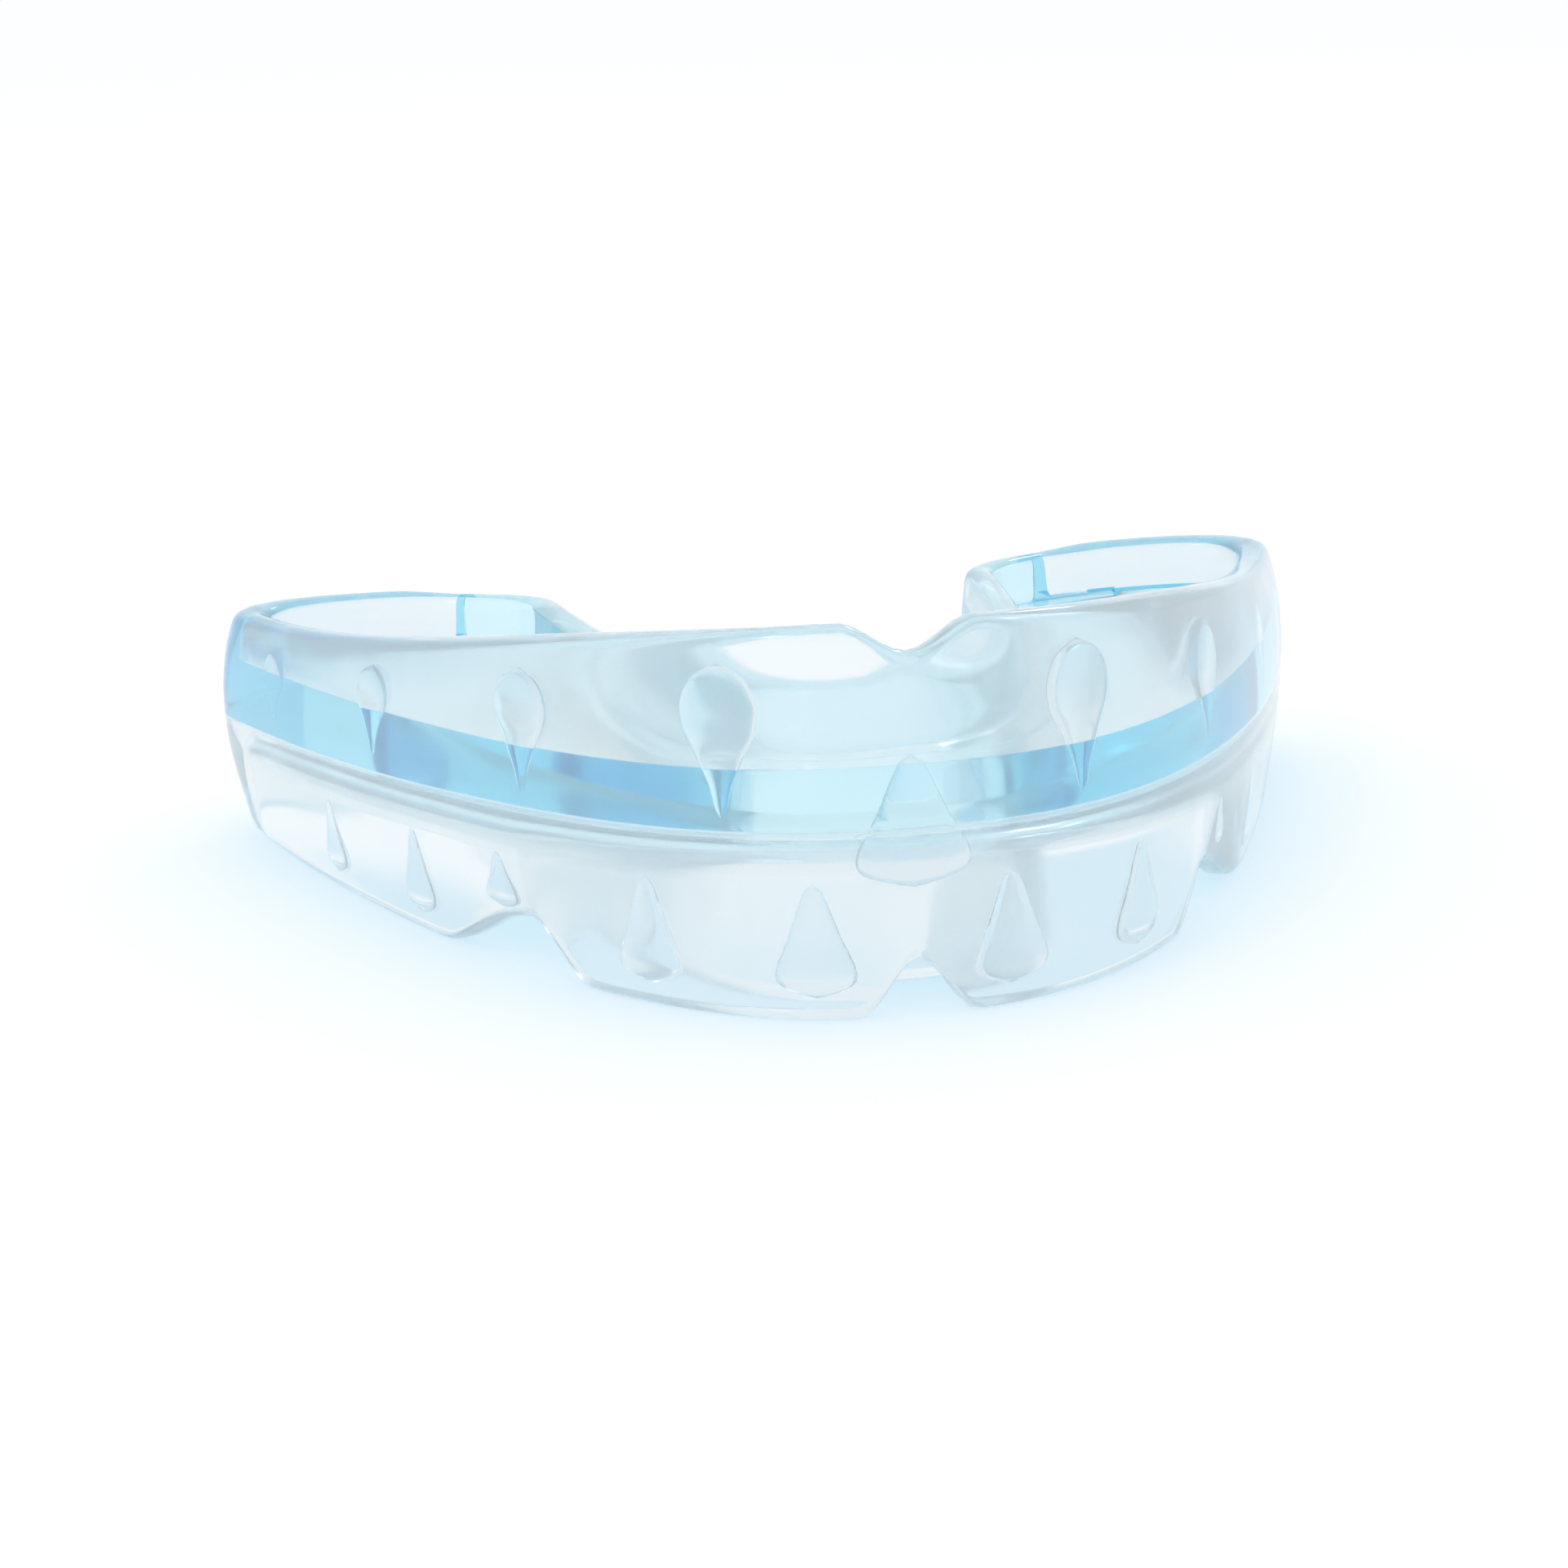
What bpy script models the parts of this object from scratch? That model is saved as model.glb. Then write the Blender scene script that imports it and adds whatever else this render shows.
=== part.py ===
"""Double mouthguard: a clear upper wall, a blue bite core and a clear lower tray, keyed by drop-shaped fins.

Metres, +Z up. The front teeth point to -Y, and the guard stands on the rim of its lower tray at z = 0.
"""

import math

import bmesh
import bpy
import numpy as np

MM = 0.001

# Plan of the arch: an outer (lip and cheek) curve and a tongue curve, each y = depth * (x / half) ** power
OUTER_HALF = 33.9 * MM
OUTER_DEPTH = 58.8 * MM
OUTER_POWER = 2.33
TONGUE_HALF = 12.0 * MM
TONGUE_DEPTH = 44.9 * MM
TONGUE_POWER = 3.54
FRONT_THICKNESS = 9.3 * MM
ARM_SHARE = 0.80
HEEL_LENGTH = 6.4 * MM
CENTRE_ARC = 50.0 * MM

# The seam between the upper and lower halves is a plane that drops from the front teeth to the heels
SEAM_HEIGHT = 7.75 * MM
SEAM_SLOPE = 0.05
GAP = 0.3 * MM

# Upper wall, heights above the seam
RIM_FRONT = 9.9 * MM
RIM_HEEL = 5.9 * MM
UPPER_NOTCH_DEPTH = 1.5 * MM
UPPER_NOTCH_HALF = 3.4 * MM
UPPER_WALL = 2.6 * MM
UPPER_LEAN = 0.9 * MM
RIM_THICKNESS = 1.6 * MM
SHOULDER = 0.8 * MM
WRAP = 1.55

# Bite core, heights above the seam
PLATE_TOP = 3.0 * MM
PLATE_ROUND = 0.5 * MM
TONGUE_WALL_TOP = 5.6 * MM
TONGUE_WALL_BASE = 2.3 * MM
TONGUE_WALL_RIM = 1.6 * MM
TONGUE_WALL_LEAN = 0.4 * MM
HEEL_ROOM_FROM = WRAP - 0.05
HEEL_ROOM_TO = 1.3

# Lower tray
LOWER_LEAN = 0.9 * MM
HEEL_LEAN = 0.7 * MM
HEEL_LIFT = 2.6 * MM
HEEL_LIFT_FROM = 0.8
HEEL_LIFT_OVER = 1.0
LOWER_WALL = 2.6 * MM
RIM_ROUND = 0.4 * MM
WEB = 0.8 * MM
CHANNEL_ROUND = 0.8 * MM
CUT_BELOW = 1.0 * MM
LIP_NOTCH_DEPTH = 2.8 * MM
LIP_NOTCH_HALF = 2.9 * MM
CHEEK_NOTCH_AT = 23.0 * MM
CHEEK_NOTCH_DEPTH = 2.8 * MM
CHEEK_NOTCH_FRONT = 4.7 * MM
CHEEK_NOTCH_BACK = 9.0 * MM

# Fins: place along the outer arc from the midline and radius of the round end, in millimetres
UPPER_FINS = [(10.1, 2.0), (23.5, 2.0), (38.3, 1.7), (52.0, 1.4)]
LOWER_FINS = [(5.3, 1.9), (14.9, 1.9), (26.2, 1.25), (34.4, 1.5), (44.7, 1.2)]
FIN_HALF_THICKNESS = 0.9 * MM
FIN_SINK = 0.35 * MM
UPPER_FIN_TIP = 0.7 * MM
UPPER_FIN_BELOW_RIM = 1.7 * MM
LOWER_FIN_TIP = -2.4 * MM
LOWER_FIN_ABOVE_RIM = 1.0 * MM
MIDLINE_RADIUS = 2.3 * MM
MIDLINE_TIP = 3.5 * MM
MIDLINE_BASE = -2.7 * MM

ARCH_STEPS = 40
HEEL_STEPS = 10
LAST_STATION = 1.9
FIN_STEPS = 14
FIN_ARC_POINTS = 5

for old in list(bpy.data.objects):
    bpy.data.objects.remove(old)


def new_collection(name, parent):
    collection = bpy.data.collections.new(name)
    parent.children.link(collection)
    return collection


PARTS = new_collection("double_mouthguard", bpy.context.scene.collection)
CUTTERS = new_collection("cutters", bpy.context.scene.collection)
WALL_CUTS = new_collection("wall_sockets", CUTTERS)
CORE_CUTS = new_collection("core_sockets", CUTTERS)
TRAY_CUTS = new_collection("tray_channel_and_sockets", CUTTERS)


def gel(name, colour, roughness):
    """A see-through gel with the colour seen in the photo."""
    material = bpy.data.materials.new(name)
    material.use_nodes = True
    shader = material.node_tree.nodes["Principled BSDF"]
    shader.inputs["Base Color"].default_value = (*colour, 1.0)
    shader.inputs["Roughness"].default_value = roughness
    shader.inputs["Metallic"].default_value = 0.0
    shader.inputs["Transmission Weight"].default_value = 0.8
    return material


CLEAR = gel("clear_gel", (0.80, 0.90, 0.93), 0.12)
BLUE = gel("blue_gel", (0.10, 0.45, 0.75), 0.12)
FIN_GEL = gel("fin_gel", (0.70, 0.87, 0.93), 0.10)


def ease(t):
    """0 to 1 with flat ends."""
    t = min(max(t, 0.0), 1.0)
    return t * t * (3 - 2 * t)


def arc_table(half, depth, power):
    """Lengths along half a curve, with the x and y there."""
    x = half * np.linspace(0, 1, 400)
    y = depth * (x / half) ** power
    length = np.concatenate([[0], np.cumsum(np.hypot(np.diff(x), np.diff(y)))])
    return length, x, y


OUTER_TABLE = arc_table(OUTER_HALF, OUTER_DEPTH, OUTER_POWER)
TONGUE_TABLE = arc_table(TONGUE_HALF, TONGUE_DEPTH, TONGUE_POWER)
OUTER_ARC = OUTER_TABLE[0][-1]


def on_curve(table, fraction, start_y):
    lengths, x, y = table
    length = fraction * lengths[-1]
    return np.array([np.interp(length, lengths, x), start_y + np.interp(length, lengths, y)])


# The front lies half the arch's length before the origin. The heels end halfway between the two curves.
HEEL_END = ARM_SHARE + HEEL_LENGTH / CENTRE_ARC
ARCH_LENGTH = (on_curve(OUTER_TABLE, HEEL_END, 0.0)[1] + on_curve(TONGUE_TABLE, HEEL_END, FRONT_THICKNESS)[1]) / 2
FRONT_Y = -ARCH_LENGTH / 2


def plan(station, side, inset=0.0):
    """Plan point on the outer (side 1) or tongue (side -1) edge, or that far in from it.

    A station runs from 0 at the midline to 1 where the heel starts and 2 at the very back, and is negative on the left.
    """
    t = abs(station)
    angle = math.pi / 2 * min(1.0, 2 - t)
    past = (HEEL_LENGTH - inset) / CENTRE_ARC * math.cos(angle)
    fraction = ARM_SHARE * min(t, 1.0) + past
    outer = on_curve(OUTER_TABLE, fraction, FRONT_Y)
    tongue = on_curve(TONGUE_TABLE, fraction, FRONT_Y + FRONT_THICKNESS)
    centre = (outer + tongue) / 2
    half = (outer - tongue) / 2
    reach = 1 - inset / np.linalg.norm(half)
    point = centre + side * reach * math.sin(angle) * half
    return point * (math.copysign(1.0, station), 1.0)


def seam(point):
    return SEAM_HEIGHT - SEAM_SLOPE * point[1]


def arc_of(station):
    """Distance from the midline along the outer edge, as far as the heel."""
    return min(abs(station), 1.0) * ARM_SHARE * OUTER_ARC


def station_of(arc):
    return arc / (ARM_SHARE * OUTER_ARC)


def upper_rim(station):
    """Height of the upper wall's rim above the seam, with the lip notch at the midline."""
    s = arc_of(station)
    height = RIM_HEEL + (RIM_FRONT - RIM_HEEL) * (0.5 + 0.5 * math.cos(math.pi * station_of(s)))
    return height - UPPER_NOTCH_DEPTH * (1 - ease(s / UPPER_NOTCH_HALF))


def heel_share(station):
    """0 along the arm, rising to 1 round the heel."""
    return ease((abs(station) - HEEL_LIFT_FROM) / HEEL_LIFT_OVER)


def lower_rim(station):
    """Height of the lower tray's outer rim above the table: 0, apart from the lip and cheek notches and the heels."""
    s = arc_of(station)
    lip = LIP_NOTCH_DEPTH * (1 - ease(s / LIP_NOTCH_HALF))
    if s < CHEEK_NOTCH_AT:
        cheek = ease(1 - (CHEEK_NOTCH_AT - s) / CHEEK_NOTCH_FRONT)
    else:
        cheek = 1 - ease((s - CHEEK_NOTCH_AT) / CHEEK_NOTCH_BACK)
    return max(lip, CHEEK_NOTCH_DEPTH * cheek) + HEEL_LIFT * heel_share(station)


def stations_to(last):
    """Stations from the midline to the last one."""
    arm = list(np.linspace(0, 1, ARCH_STEPS, endpoint=False))
    return arm + list(np.linspace(1, last, HEEL_STEPS))


def both_sides(half):
    """A list of stations continued onto the other side: left end to right end."""
    return [-t for t in reversed(half) if t > 0] + half


def add_object(name, mesh, collection, material=None):
    """Put a mesh in a collection as a part, or as a cutter if it has no material."""
    thing = bpy.data.objects.new(name, mesh)
    collection.objects.link(thing)
    if material:
        mesh.materials.append(material)
    else:
        thing.hide_render = True
        thing.display_type = "WIRE"
    return thing


def cap_with_rungs(work, row):
    """Close the end of a loft with faces that join its first half to its second, like rungs."""
    last = len(row) - 1
    for i in range(last // 2):
        corners = [row[i], row[i + 1], row[last - i - 1], row[last - i]]
        work.faces.new(list(dict.fromkeys(corners)))


def loft(name, rings, collection, material=None):
    """A closed solid through unlike sections, with a cap at each end."""
    work = bmesh.new()
    rows = [[work.verts.new(point) for point in ring] for ring in rings]
    count = len(rows[0])
    for row, following in zip(rows, rows[1:]):
        for i in range(count):
            j = (i + 1) % count
            work.faces.new((row[i], row[j], following[j], following[i]))
    for row in (rows[0], rows[-1]):
        cap_with_rungs(work, row)
    bmesh.ops.recalc_face_normals(work, faces=work.faces)
    mesh = bpy.data.meshes.new(name)
    work.to_mesh(mesh)
    work.free()
    return add_object(name, mesh, collection, material)


def cut(target, cutters):
    """Cut every object of a collection out of a target at once."""
    modifier = target.modifiers.new(cutters.name, "BOOLEAN")
    modifier.operation = "DIFFERENCE"
    modifier.solver = "EXACT"
    modifier.operand_type = "COLLECTION"
    modifier.collection = cutters


def wall_ring(station, side, section):
    """One ring of a wall along an edge. section lists (inset, height above the seam)."""
    ring = []
    for inset, height in section:
        point = plan(station, side, inset)
        ring.append((*point, seam(point) + height))
    return ring


def upper_section(station):
    """Section of the upper wall: leans in towards a rounded rim, with an upright inner face."""
    rim = upper_rim(station)
    rim_inside = UPPER_LEAN + RIM_THICKNESS
    return [
        (0.0, GAP / 2),
        (0.0, 0.3 * rim),
        (0.35 * UPPER_LEAN, 0.65 * rim),
        (UPPER_LEAN, rim - SHOULDER),
        (UPPER_LEAN + 0.3 * RIM_THICKNESS, rim),
        (UPPER_LEAN + 0.7 * RIM_THICKNESS, rim),
        (rim_inside, rim - SHOULDER),
        (UPPER_WALL, 0.6 * rim),
        (UPPER_WALL, GAP / 2),
    ]


def tongue_section():
    """Tongue side of the core where its blue wall stands: from the plate up, over the rim and down the back."""
    shoulder = TONGUE_WALL_TOP - SHOULDER
    return [
        (TONGUE_WALL_BASE + PLATE_ROUND, PLATE_TOP),
        (TONGUE_WALL_BASE, PLATE_TOP + PLATE_ROUND),
        (TONGUE_WALL_LEAN + TONGUE_WALL_RIM, shoulder),
        (TONGUE_WALL_LEAN + 0.7 * TONGUE_WALL_RIM, TONGUE_WALL_TOP),
        (TONGUE_WALL_LEAN + 0.3 * TONGUE_WALL_RIM, TONGUE_WALL_TOP),
        (TONGUE_WALL_LEAN, shoulder),
        (0.0, 0.4 * TONGUE_WALL_TOP),
        (0.5 * TONGUE_WALL_LEAN, GAP / 2),
    ]


def heel_room_section():
    """Section of the room for the clear heel: a little wider and taller than the upper wall there."""
    outside = -GAP
    inside = UPPER_WALL + 1.7 * GAP
    return [(outside, -GAP), (outside, RIM_FRONT), (inside, RIM_FRONT), (inside, -GAP)]


def core_ring(station):
    """Ring of the bite core before the heels are cut back: over the top from the plate's outer edge, and back below."""
    edge = UPPER_WALL + GAP
    top = [(edge, PLATE_TOP - PLATE_ROUND), (edge + PLATE_ROUND, PLATE_TOP)]
    bottom = [(edge + PLATE_ROUND, GAP / 2), (edge, GAP / 2 + PLATE_ROUND)]
    tongue = wall_ring(station, -1, tongue_section())
    return wall_ring(station, 1, top) + tongue + wall_ring(station, 1, bottom)


def tray_ring(station):
    """Ring of the lower tray before its channel is cut: both sides lean in from the seam to the rim."""
    lean = LOWER_LEAN + HEEL_LEAN * heel_share(station)

    def one_side(side, rim):
        points = []
        top = seam(plan(station, side)) - GAP / 2
        profile = [
            (0.0, top),
            (0.1 * lean, 0.7 * top + 0.3 * rim),
            (0.5 * lean, 0.35 * top + 0.65 * rim),
            (lean, rim + RIM_ROUND),
            (lean + RIM_ROUND, rim),
            (LOWER_WALL + RIM_ROUND, rim),
        ]
        for inset, z in profile:
            points.append((*plan(station, side, inset), z))
        return points

    tongue_rim = HEEL_LIFT * heel_share(station)
    return one_side(1, lower_rim(station)) + one_side(-1, tongue_rim)[::-1]


def channel_ring(station):
    """Ring of the cut that makes the lower tooth channel, open downwards."""
    def one_side(side):
        roof = seam(plan(station, side)) - WEB
        profile = [
            (LOWER_WALL, -CUT_BELOW),
            (LOWER_WALL, roof - CHANNEL_ROUND),
            (LOWER_WALL + CHANNEL_ROUND, roof),
        ]
        return [(*plan(station, side, inset), z) for inset, z in profile]

    return one_side(1) + one_side(-1)[::-1]


def drop(name, radius, length, half_thickness, collection, material=None):
    """A drop turned about its long axis by a Screw: point at the origin, round end up, flattened along local y."""
    centre = length - radius
    lean = math.asin(radius / centre)
    profile = [(0.0, 0.0)]
    for angle in np.linspace(-lean, math.pi / 2, FIN_ARC_POINTS):
        profile.append((radius * math.cos(angle), centre + radius * math.sin(angle)))
    mesh = bpy.data.meshes.new(name)
    edges = [(i, i + 1) for i in range(len(profile) - 1)]
    mesh.from_pydata([(r, 0.0, z) for r, z in profile], edges, [])
    thing = add_object(name, mesh, collection, material)
    turn = thing.modifiers.new("turn", "SCREW")
    turn.steps = FIN_STEPS
    turn.render_steps = FIN_STEPS
    turn.use_merge_vertices = True
    turn.merge_threshold = 1e-6
    turn.use_normal_calculate = True
    thing.scale.y = half_thickness / radius
    return thing


def stand(thing, place, normal, tip, up):
    """Put a drop's point at a height, its flat side square to the wall and its round end up or down."""
    thing.location = (*place, tip)
    turn = math.atan2(normal[1], normal[0]) - math.pi / 2
    thing.rotation_euler = (0.0 if up else math.pi, 0.0, turn)


def fin_and_sockets(name, radius, place, normal, tip, end, cuts):
    """A fin, and the larger drop that cuts its socket in each piece that the fin reaches into."""
    up = end > tip
    length = abs(end - tip)
    fin = drop(name, radius, length, FIN_HALF_THICKNESS, PARTS, FIN_GEL)
    stand(fin, place, normal, tip, up)
    socket = drop(name + "_socket", radius + GAP, length + 3 * GAP, FIN_HALF_THICKNESS + GAP, cuts[0])
    stand(socket, place, normal, tip - math.copysign(2 * GAP, end - tip), up)
    for other in cuts[1:]:
        other.objects.link(socket)


def outer_place(arc, inset):
    """Plan point and inward normal at a distance along the outer edge, a little way in from it."""
    t = station_of(arc)
    step = 0.002
    along = plan(t + step, 1) - plan(t - step, 1)
    normal = np.array([-along[1], along[0]]) / np.linalg.norm(along)
    return plan(t, 1) + normal * inset, normal


def build_wall():
    """The clear wall runs along the outer edge and round each heel to the tongue side."""
    way = [(t, 1) for t in stations_to(2.0)]
    way += [(t, -1) for t in np.linspace(2.0, WRAP, HEEL_STEPS)[1:]]
    way = [(-t, side) for t, side in reversed(way) if t > 0] + way
    rings = [wall_ring(t, side, upper_section(t)) for t, side in way]
    return loft("upper_outer_wall", rings, PARTS, CLEAR)


def build_core():
    """The blue plate with its blue tongue-side wall, cut back at each heel where the clear wall wraps round."""
    way = [(t, -1) for t in np.linspace(HEEL_ROOM_FROM, 2.0, HEEL_STEPS)]
    way += [(t, 1) for t in np.linspace(2.0, HEEL_ROOM_TO, HEEL_STEPS)[1:]]
    for side, sign in (("left", -1), ("right", 1)):
        rings = [wall_ring(sign * t, edge, heel_room_section()) for t, edge in way]
        loft(f"heel_room_{side}", rings, CORE_CUTS)
    stations = both_sides(stations_to(LAST_STATION))
    return loft("bite_core", [core_ring(t) for t in stations], PARTS, BLUE)


def build_tray():
    """The clear lower trough: a solid band with its tooth channel cut from below."""
    way = both_sides(stations_to(LAST_STATION))
    loft("lower_channel", [channel_ring(t) for t in way], TRAY_CUTS)
    return loft("lower_tray", [tray_ring(t) for t in way], PARTS, CLEAR)


def build_fins():
    """Fins in the outer walls on both sides, and the key across the seam at the midline, each with its socket."""
    for side, sign in (("left", -1), ("right", 1)):
        for number, (arc, radius) in enumerate(UPPER_FINS, 1):
            place, normal = outer_place(sign * arc * MM, UPPER_WALL - FIN_SINK)
            tip = seam(place) + UPPER_FIN_TIP
            end = seam(place) + upper_rim(station_of(arc * MM)) - UPPER_FIN_BELOW_RIM
            name = f"upper_fin_{side}_{number}"
            fin_and_sockets(name, radius * MM, place, normal, tip, end, (WALL_CUTS, CORE_CUTS))
        for number, (arc, radius) in enumerate(LOWER_FINS, 1):
            place, normal = outer_place(sign * arc * MM, LOWER_WALL - FIN_SINK)
            tip = seam(place) + LOWER_FIN_TIP
            end = lower_rim(station_of(arc * MM)) + LOWER_FIN_ABOVE_RIM
            fin_and_sockets(f"lower_fin_{side}_{number}", radius * MM, place, normal, tip, end, (TRAY_CUTS,))

    place = plan(0.0, 1, UPPER_WALL - FIN_SINK)
    tip = seam(place) + MIDLINE_TIP
    end = seam(place) + MIDLINE_BASE
    facing = np.array([0.0, 1.0])
    fin_and_sockets("midline_key", MIDLINE_RADIUS, place, facing, tip, end, (WALL_CUTS, TRAY_CUTS, CORE_CUTS))


wall = build_wall()
core = build_core()
tray = build_tray()
build_fins()
cut(wall, WALL_CUTS)
cut(core, CORE_CUTS)
cut(tray, TRAY_CUTS)
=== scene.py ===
# %% [markdown]
# # A double mouthguard in see-through gel
#
# This lesson dresses a packed mouthguard: a clear wall for the upper teeth, a blue core in the middle and
# a clear tray for the lower teeth, with small drop-shaped fins in the walls. Each piece is modelled again
# with rounder edges than its solid, in the same place and at the same size, and gets a gel that light
# passes through.

# %% Load the fixed frame and keep its box
import math

import bmesh
import bpy
import numpy as np
from mathutils import Matrix, Vector


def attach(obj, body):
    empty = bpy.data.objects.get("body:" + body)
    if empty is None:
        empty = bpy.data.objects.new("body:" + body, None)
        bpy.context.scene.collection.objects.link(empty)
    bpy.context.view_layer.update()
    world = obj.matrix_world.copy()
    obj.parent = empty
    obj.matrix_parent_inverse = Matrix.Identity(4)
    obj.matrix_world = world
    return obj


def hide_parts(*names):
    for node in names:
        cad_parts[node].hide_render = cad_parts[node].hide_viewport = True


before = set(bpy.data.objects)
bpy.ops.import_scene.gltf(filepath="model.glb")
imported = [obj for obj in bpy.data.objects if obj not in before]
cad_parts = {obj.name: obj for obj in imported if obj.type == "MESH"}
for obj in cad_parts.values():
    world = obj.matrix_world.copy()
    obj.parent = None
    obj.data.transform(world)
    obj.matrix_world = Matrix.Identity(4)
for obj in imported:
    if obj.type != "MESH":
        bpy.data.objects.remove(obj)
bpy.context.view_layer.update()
print("solids to dress:", len(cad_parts))

# %% [markdown]
# ## Camera
#
# The guard is seen from a little above, turned so that its midline lies right of the middle of the
# picture. The camera could be aimed by eye. Here it stands where a fit of the seam line put it: the seam
# between the halves is a flat curve of known shape, so its picture gives the turn, the height, the roll
# and the distance. The angles are measured to the plane of the seam, which slopes down towards the back.

# %% Place the camera
MM = 0.001
SEAM_HEIGHT = 7.75 * MM
SEAM_SLOPE = 0.05
CAMERA_TURN = math.radians(9.43)
CAMERA_LIFT = math.radians(10.66)
CAMERA_ROLL = math.radians(2.70)
CAMERA_DISTANCE = 206.3 * MM
CAMERA_LENS = 92.19
SENSOR_WIDTH = 36.0
AIM_Y = -3.6 * MM
AIM_POINT = Vector((0.0, AIM_Y, SEAM_HEIGHT - SEAM_SLOPE * AIM_Y))
AIM_RIGHT = -0.01264
AIM_UP = -0.00871

slope_turn = Matrix.Rotation(-math.atan(SEAM_SLOPE), 3, "X")
level_right = Vector((math.cos(CAMERA_TURN), -math.sin(CAMERA_TURN), 0.0))
level_ahead = Vector((math.sin(CAMERA_TURN), math.cos(CAMERA_TURN), 0.0))
ahead = slope_turn @ (level_ahead * math.cos(CAMERA_LIFT) - Vector((0, 0, math.sin(CAMERA_LIFT))))
right = slope_turn @ level_right
up = right.cross(ahead)
rolled_right = right * math.cos(CAMERA_ROLL) - up * math.sin(CAMERA_ROLL)
rolled_up = right * math.sin(CAMERA_ROLL) + up * math.cos(CAMERA_ROLL)
place = AIM_POINT - ahead * CAMERA_DISTANCE
look = (ahead + rolled_right * AIM_RIGHT + rolled_up * AIM_UP).normalized()
side = look.cross(rolled_up).normalized()
top = side.cross(look)

bpy.ops.object.select_all(action="DESELECT")
bpy.ops.object.camera_add()
camera = bpy.context.object
camera.data.lens = CAMERA_LENS
camera.data.sensor_width = SENSOR_WIDTH
camera.data.clip_start = 10 * MM
turned = Matrix((side, top, -look)).transposed().to_4x4()
turned.translation = place
camera.matrix_world = turned
bpy.context.scene.camera = camera
print("camera stands at", [round(c * 1000, 1) for c in place], "mm")

# %% [markdown]
# ## Stage
#
# Clear gel shows only what stands around it, so the room decides its look. A ring of soft boxes would do;
# an even white room is simpler and has no hard edges to mirror. It lights the guard a little less than it
# shows, so that pale gel doesn't burn out, and two small soft boxes add highlights. The floor is a white
# sheet with a faint glow of its own, which keeps the soft shadow.

# %% Lay the floor
FLOOR_SIZE = 6.0
FLOOR_COLOUR = (0.93, 0.94, 0.95, 1.0)
FLOOR_GLOW = 0.145
WHITE = (1.0, 1.0, 1.0, 1.0)
bpy.context.scene.view_settings.view_transform = "Standard"


def new_material(name):
    material = bpy.data.materials.new(name)
    material.use_nodes = True
    material.node_tree.nodes.clear()
    return material, material.node_tree.nodes, material.node_tree.links


bpy.ops.object.select_all(action="DESELECT")
bpy.ops.mesh.primitive_plane_add(size=FLOOR_SIZE)
floor = bpy.context.object
floor.name = "floor"
paper, nodes, links = new_material("white_paper")
matt = nodes.new("ShaderNodeBsdfDiffuse")
matt.inputs["Color"].default_value = FLOOR_COLOUR
glow = nodes.new("ShaderNodeEmission")
glow.inputs["Color"].default_value = WHITE
glow.inputs["Strength"].default_value = FLOOR_GLOW
both = nodes.new("ShaderNodeAddShader")
output = nodes.new("ShaderNodeOutputMaterial")
links.new(matt.outputs["BSDF"], both.inputs[0])
links.new(glow.outputs["Emission"], both.inputs[1])
links.new(both.outputs["Shader"], output.inputs["Surface"])
floor.data.materials.append(paper)
print("floor laid,", FLOOR_SIZE, "m wide")

# %% Light the room
ROOM_LIGHT = 0.9
world = bpy.data.worlds.new("studio")
world.use_nodes = True
bpy.context.scene.world = world
nodes = world.node_tree.nodes
links = world.node_tree.links
nodes.clear()
rays = nodes.new("ShaderNodeLightPath")
seen = nodes.new("ShaderNodeMath")
seen.operation = "MAXIMUM"
clearly = nodes.new("ShaderNodeMath")
clearly.operation = "MAXIMUM"
level = nodes.new("ShaderNodeMapRange")
level.inputs["To Min"].default_value = ROOM_LIGHT
level.inputs["To Max"].default_value = 1.0
room = nodes.new("ShaderNodeBackground")
room.inputs["Color"].default_value = WHITE
output = nodes.new("ShaderNodeOutputWorld")
links.new(rays.outputs["Is Camera Ray"], seen.inputs[0])
links.new(rays.outputs["Is Glossy Ray"], seen.inputs[1])
links.new(seen.outputs[0], clearly.inputs[0])
links.new(rays.outputs["Is Transmission Ray"], clearly.inputs[1])
links.new(clearly.outputs[0], level.inputs["Value"])
links.new(level.outputs["Result"], room.inputs["Strength"])
links.new(room.outputs["Background"], output.inputs["Surface"])
print("room lights at", ROOM_LIGHT, "and shows at 1")

# %% Add two soft boxes
LAMP_SIZE = 0.08
LAMP_AIM = Vector((0, 0, 0.01))
KEY_LAMP_PLACE = (-0.25, -0.20, 0.40)
KEY_LAMP_POWER = 0.16
BACK_LAMP_PLACE = (0.20, 0.35, 0.30)
BACK_LAMP_POWER = 0.10


def soft_box(name, place, power):
    bpy.ops.object.light_add(type="AREA", location=place)
    lamp = bpy.context.object
    lamp.name = name
    lamp.data.shape = "DISK"
    lamp.data.size = LAMP_SIZE
    lamp.data.energy = power
    lamp.rotation_euler = (LAMP_AIM - Vector(place)).to_track_quat("-Z", "Y").to_euler()


soft_box("key_soft_box", KEY_LAMP_PLACE, KEY_LAMP_POWER)
soft_box("rim_soft_box", BACK_LAMP_PLACE, BACK_LAMP_POWER)
print("soft boxes of", KEY_LAMP_POWER, "and", BACK_LAMP_POWER, "W added")

# %% [markdown]
# ## The arch
#
# Every piece follows one horseshoe. Its plan is two curves, one along the lips and cheeks and one along
# the tongue, joined by a round heel at each back end. A station says how far along the arch a section
# stands: 0 at the midline, 1 where the heel starts and 2 at its very back, negative on the left. An inset
# says how far in from an edge a point lies. With these two numbers, a section drawn flat can be stood
# anywhere on the arch.

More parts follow.
